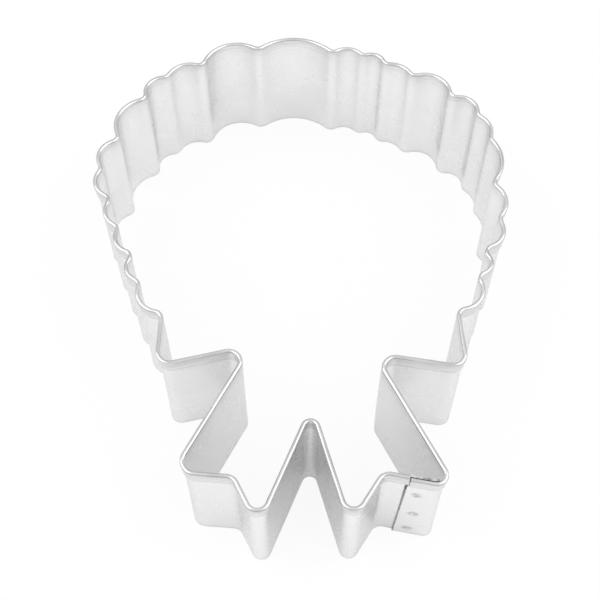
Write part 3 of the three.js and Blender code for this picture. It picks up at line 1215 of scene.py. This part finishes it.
@dataclass
class SpotWelds:
    """Three fused buttons through both layers of the lap, in millimetres.

    Attributes:
        strip: The strip that they hold.
        diameter: Diameter of a button.
        dish: Depth of the electrode's dish.
        chamfer: Chamfer round the flush face.
        flat_share: Share of the radius that the flush face's middle takes.
        worn_share: Share of the radius that is pressed all over.
        clearance: Room between a button and its hole.
        hole_ends: Where a hole's cutting body starts and ends, out of the lap's inner face.
        around: Points round a button.
        dish_rows: Points from the dish's lip to its middle.
        places: The welds, from the upper to the lower.
    """

    strip: CutterStrip
    diameter: float = 2.2
    dish: float = 0.12
    chamfer: float = 0.03
    flat_share: float = 0.6
    worn_share: float = 0.72
    clearance: float = 0.008
    hole_ends: Pair = (-1.0, 2.0)
    around: int = 72
    dish_rows: int = 14
    places: tuple[WeldPlace, ...] = (
        WeldPlace("spot_weld_upper", 1.8, 0.73),
        WeldPlace("spot_weld_middle", 1.9, 0.39),
        WeldPlace("spot_weld_lower", 1.3, 0.105),
    )

    def revolve(
        self, radius: np.ndarray, out: np.ndarray, weld: WeldPlace
    ) -> tuple[np.ndarray, list[list[int]]]:
        """Turn a profile round an axis that points out of the lap.

        A point at radius r, angle a and distance w out stands at the axis foot plus r cos(a) along the tail's
        end, r sin(a) up and w outwards. The first and last profile points are poles.

        Args:
            radius: Radius of each profile point.
            out: Distance of each profile point out of the lap's inner face.
            weld: Where the axis stands.

        Returns:
            Points in metres, the poles last, and faces as point numbers.
        """
        outline = self.strip.outline
        height = weld.height_share * self.strip.depth
        along = outline.end_along()
        outward = np.array([along[1], -along[0]])
        from_foot = outline.seam_from_foot + weld.from_seam
        foot = outline.to_part(outline.on_tail_end(from_foot, -self.strip.rim_half))
        angle = np.linspace(0.0, 2.0 * np.pi, self.around, endpoint=False)
        ring = np.cos(angle)[None, :, None] * radius[1:-1, None, None] * along
        plan = foot + ring + out[1:-1, None, None] * outward
        up = height + radius[1:-1, None] * np.sin(angle)[None, :]
        rings = np.concatenate([plan, up[:, :, None]], axis=2).reshape(-1, 3)
        poles = np.array([[*(foot + out[end] * outward), height] for end in (0, -1)])
        index = np.arange(len(rings)).reshape(-1, self.around)
        after = np.roll(index, -1, axis=1)
        quads = np.stack([index[:-1], after[:-1], after[1:], index[1:]], axis=2).reshape(-1, 4)
        pole = np.full(self.around, len(rings))
        first = np.stack([pole, after[0], index[0]], axis=1)
        last = np.stack([pole + 1, index[-1], after[-1]], axis=1)
        return np.concatenate([rings, poles]) * MM, quads.tolist() + first.tolist() + last.tolist()

    def body(self, radius: np.ndarray, out: np.ndarray, weld: WeldPlace, wear: np.ndarray) -> bpy.types.Mesh:
        """Make a revolved body a mesh.

        Args:
            radius: Radius of each profile point.
            out: Distance of each profile point out of the lap's inner face.
            weld: Where the axis stands.
            wear: Wear of each profile point.

        Returns:
            The closed mesh, with a wear attribute.
        """
        points, faces = self.revolve(radius, out, weld)
        mesh = bpy.data.meshes.new(f"{weld.node}_mesh")
        mesh.from_pydata(points, [], faces)
        mesh.validate()
        attribute = mesh.attributes.new(Layer.WEAR_AND_SHADOW.value, "FLOAT", "POINT")
        values = np.concatenate([np.repeat(wear[1:-1], self.around), wear[[0, -1]]])
        attribute.data.foreach_set("value", values.astype(np.float32))
        return mesh

    def holes(self) -> bpy.types.Object:
        """Plain round bodies that open the holes for the welds.

        Returns:
            One object with a body for each weld.
        """
        reach = self.diameter / 2.0 + self.clearance
        radius = np.array([0.0, reach, reach, 0.0])
        out = np.repeat(self.hole_ends, 2)
        points, faces = [], []
        for weld in self.places:
            ring, corners = self.revolve(radius, out, weld)
            start = sum(len(done) for done in points)
            faces += [[start + corner for corner in face] for face in corners]
            points.append(ring)
        mesh = bpy.data.meshes.new("weld_hole_bodies")
        mesh.from_pydata(np.concatenate(points), [], faces)
        mesh.validate()
        return show(mesh, "weld_hole_bodies")

    def build(self) -> list[bpy.types.Object]:
        """Make the three buttons.

        The outer face is a dish, lowest in its middle, inside a round lip: depth times half of one plus the
        cosine of pi times the share of the radius. The inner face is flush with the wall.

        Returns:
            The buttons, from the upper to the lower.
        """
        reach = self.diameter / 2.0
        length = self.strip.sheet + self.strip.outline.lap_step
        share = np.linspace(1.0, 0.0, self.dish_rows)
        face = length - self.dish * (0.5 + 0.5 * np.cos(np.pi * share))
        radius = np.concatenate([[0.0, self.flat_share * reach, reach - self.chamfer, reach], reach * share])
        out = np.concatenate([[0.0, 0.0, 0.0, self.chamfer], face])
        wear = np.concatenate([np.zeros(4), 1.0 - smooth_step(share, self.worn_share, 1.0)])
        return [show(self.body(radius, out, weld, wear), f"{weld.node}_button") for weld in self.places]

    def dress(self, buttons: list[bpy.types.Object], finish: WeldFinish) -> None:
        """Give each button the weld finish and its place."""
        material = finish.material("pressed_weld")
        for button, weld in zip(buttons, self.places):
            dress(button, material, weld.node)


@dataclass
class Studio:
    """White table, soft light from both sides and the photograph's camera, in metres.

    Attributes:
        floor_half: Half the width of the table.
        floor_drop: How far the table lies under the cutting edge.
        floor_white: Colour of the table.
        floor_rough: Roughness of the table.
        floor_glow: Share of the table's white that is its own where the camera sees it.
        mirror_glow: The same share where the metal mirrors it, for the room too.
        sky: Brightness of the room overhead and at the horizon.
        sky_rise: Sine of the height from which it is as bright as overhead.
        lamp_place: Place of the right lamp; the left one mirrors it.
        lamp_size: Side of a lamp's square.
        lamp_power: Power of a lamp, in watts.
        camera_place: The camera's place.
        camera_tilt: The camera's turn up from straight down, in degrees.
        camera_near: Nearest distance that the camera sees.
        sensor: Width of the camera's sensor, in millimetres.
        lens: Focal length for that sensor, in millimetres.
    """

    floor_half: float = 3.0
    floor_drop: float = 0.00002
    floor_white: Triple = (0.9, 0.9, 0.9)
    floor_rough: float = 0.9
    floor_glow: float = 0.9
    mirror_glow: float = 0.29
    sky: Pair = (0.85, 0.4)
    sky_rise: float = 0.8
    lamp_place: Triple = (0.95, -0.1, 0.95)
    lamp_size: float = 1.3
    lamp_power: float = 7.2
    camera_place: Triple = (0.000042, -0.121782, 0.203737)
    camera_tilt: float = 31.516
    camera_near: float = 0.01
    sensor: float = 36.0
    lens: float = 69.685

    def floor(self) -> None:
        """Lay a pale table top just under the cutting edge, which shows as white and keeps the shadow."""
        side = np.array([-1.0, 1.0]) * self.floor_half
        x, y = np.meshgrid(side, side)
        corners = np.stack([x.ravel(), y.ravel(), np.full(4, -self.floor_drop)], axis=1)
        mesh = bpy.data.meshes.new("white_table_mesh")
        mesh.from_pydata(corners, [], [[0, 1, 3, 2]])
        table = show(mesh, "white_table")
        material = bpy.data.materials.new("white_table")
        graph = NodeGraph.start(material, "Principled BSDF")
        graph.fill(graph.shader, {"Base Color": (*self.floor_white, 1.0), "Roughness": self.floor_rough})
        mix = graph.add("ShaderNodeMixShader", {
            0: graph.seen(self.floor_glow, self.mirror_glow),
            1: graph.shader.outputs["BSDF"],
            2: graph.add("ShaderNodeEmission").outputs["Emission"],
        })
        graph.fill(graph.tree.nodes["Material Output"], {"Surface": mix.outputs["Shader"]})
        mesh.materials.append(material)

    def room(self) -> None:
        """Set a soft white room, a little darker towards the horizon, and white where the camera sees it."""
        world = bpy.data.worlds.new("soft_room")
        graph = NodeGraph.start(world, "Background")
        place = graph.add("ShaderNodeTexCoord").outputs["Generated"]
        up = graph.add("ShaderNodeSeparateXYZ", {"Vector": place}).outputs["Z"]
        overhead, horizon = self.sky
        light = graph.span(up, 0.0, self.sky_rise, horizon, overhead)
        white = graph.seen(1.0, self.mirror_glow)
        strength = graph.add("ShaderNodeMix", {"Factor": white, "A": light, "B": 1.0}).outputs["Result"]
        graph.fill(graph.shader, {"Color": (1.0, 1.0, 1.0, 1.0), "Strength": strength})
        bpy.context.scene.world = world

    def lamp(self, name: str, place: Triple) -> None:
        """Hang a square soft lamp aimed at the cutter.

        Args:
            name: Name of the lamp.
            place: Its place.
        """
        light = bpy.data.lights.new(name, "AREA")
        light.shape = "SQUARE"
        light.size = self.lamp_size
        light.energy = self.lamp_power
        lamp = bpy.data.objects.new(name, light)
        lamp.location = place
        aim = -np.array(place) / np.linalg.norm(place)
        tilt = float(np.arccos(-aim[2]))
        turn = float(np.arctan2(aim[1], aim[0]) - np.pi / 2.0)
        lamp.rotation_euler = (tilt, 0.0, turn)
        bpy.context.scene.collection.objects.link(lamp)

    def camera(self) -> None:
        """Put the camera at the photograph's viewing angle."""
        data = bpy.data.cameras.new("photo_camera")
        data.sensor_width = self.sensor
        data.lens = self.lens
        data.clip_start = self.camera_near
        camera = bpy.data.objects.new("photo_camera", data)
        camera.location = self.camera_place
        camera.rotation_euler = (radians(self.camera_tilt), 0.0, 0.0)
        bpy.context.scene.collection.objects.link(camera)
        bpy.context.scene.camera = camera

    def build(self) -> None:
        """Set up the camera, the table, the room and the lamps."""
        self.camera()
        self.floor()
        self.room()
        x, y, z = self.lamp_place
        self.lamp("left_softbox", (-x, y, z))
        self.lamp("right_softbox", (x, y, z))
        bpy.context.scene.view_settings.view_transform = "Standard"


def main() -> None:
    """Build the studio, the strip and its welds in order."""
    logging.basicConfig(level=logging.INFO, format="%(name)s: %(message)s")
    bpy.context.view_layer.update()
    Studio().build()
    strip = CutterStrip(RibbonOutline())
    welds = SpotWelds(strip)
    body = strip.build(welds.holes())
    strip.dress(body, TinplateFinish())
    welds.dress(welds.build(), WeldFinish())


if __name__ == "__main__":
    main()
